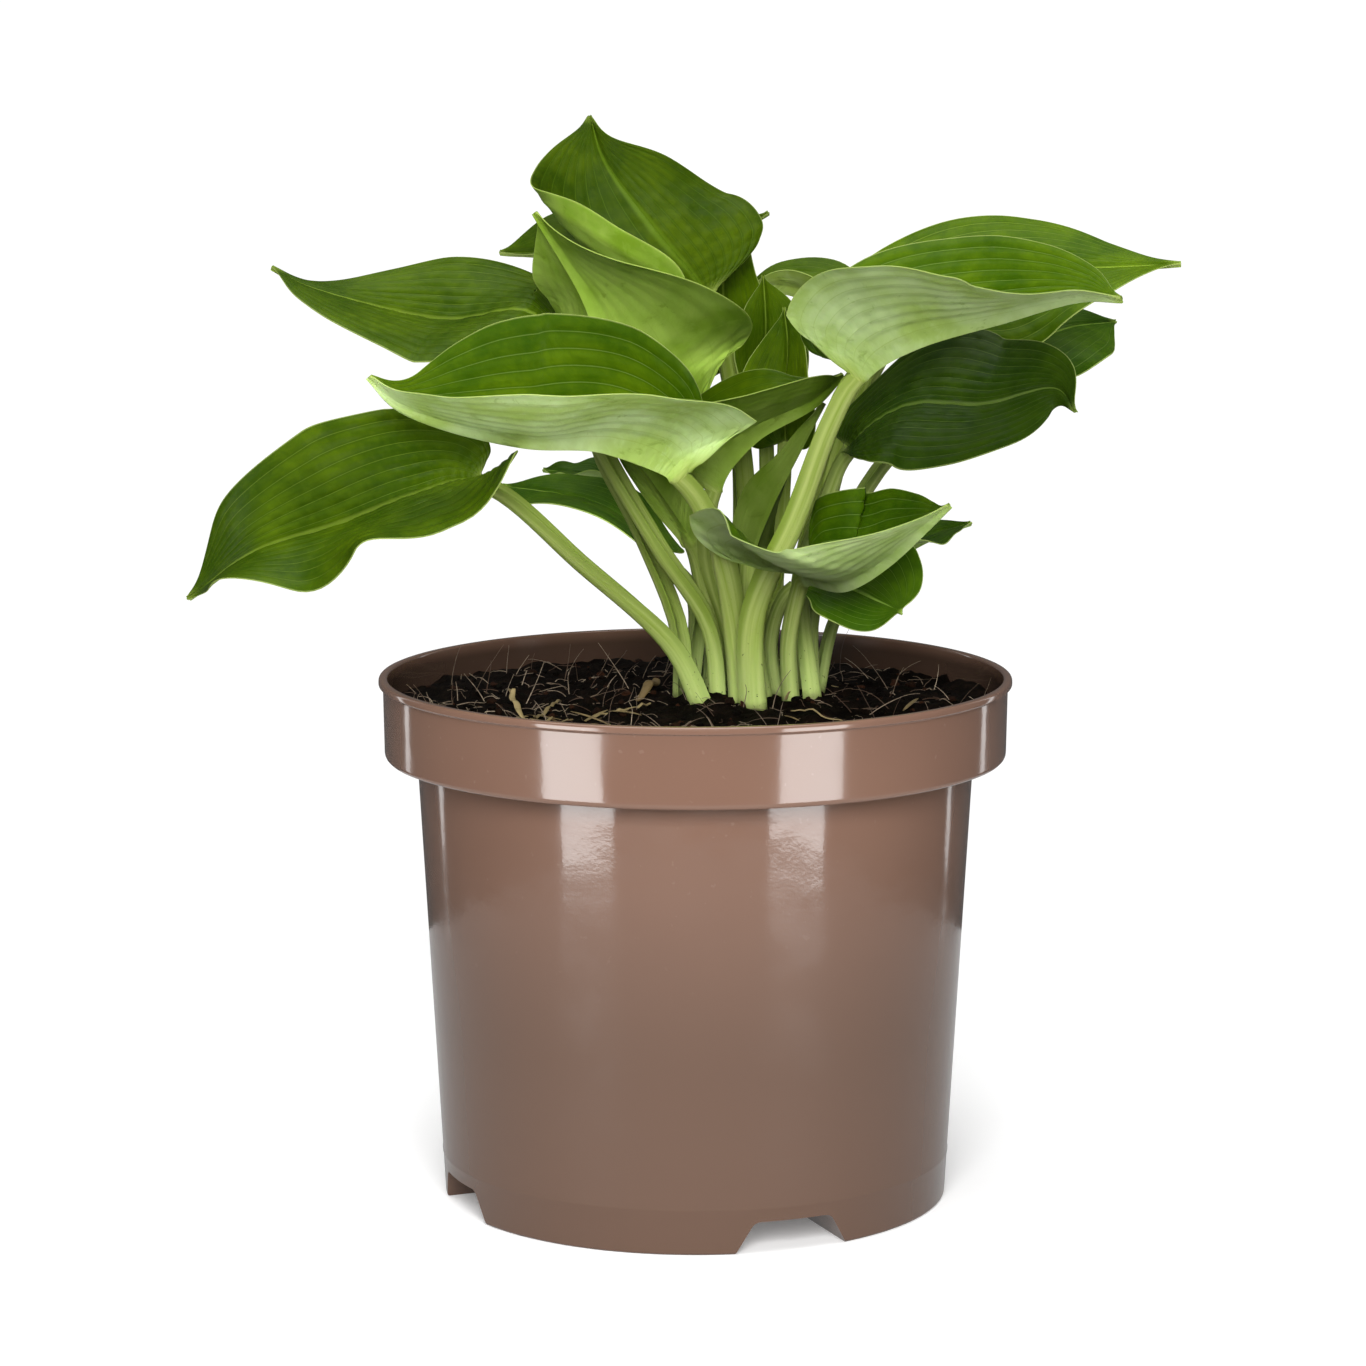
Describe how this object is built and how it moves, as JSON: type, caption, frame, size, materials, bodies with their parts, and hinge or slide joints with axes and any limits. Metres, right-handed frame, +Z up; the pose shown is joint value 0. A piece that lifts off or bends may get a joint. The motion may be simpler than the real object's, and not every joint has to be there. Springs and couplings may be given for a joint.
{
  "type": "potted hosta plant",
  "caption": "Young hosta with broad pointed ribbed leaves on grooved stalks, growing in dark potting soil in a round plastic pot with a deep collar rim and notched foot.",
  "frame": {"origin": "middle of the pot's underside, on the plane that its foot pads stand on", "axes": "+Z up along the pot's axis; -Y is the plant's front, with the longest leaves to -X and +X"},
  "size_m": [0.2983, 0.19, 0.3227],
  "materials": {
    "pot_plastic": "gloss",
    "soil": "matte",
    "crown": "matte",
    "leaf": "satin"
  },
  "bodies": {
    "root": {"pot": "pot_plastic", "soil": "soil", "crown": "crown", "leaf_far_left": "leaf", "leaf_upper_left": "leaf", "leaf_front_left": "leaf", "leaf_behind_front": "leaf", "leaf_top": "leaf", "leaf_right_front": "leaf", "leaf_centre_left": "leaf", "leaf_far_right": "leaf", "leaf_right_low": "leaf", "leaf_right_back": "leaf", "leaf_front_right": "leaf", "leaf_low_right": "leaf", "leaf_right_small": "leaf", "leaf_left_back_low": "leaf", "leaf_left_back_small": "leaf", "leaf_back_left": "leaf", "leaf_back_right_tip": "leaf", "leaf_back_centre": "leaf", "leaf_young_left": "leaf", "leaf_young_right": "leaf", "leaf_young_rolled": "leaf"}
  },
  "joints": []
}
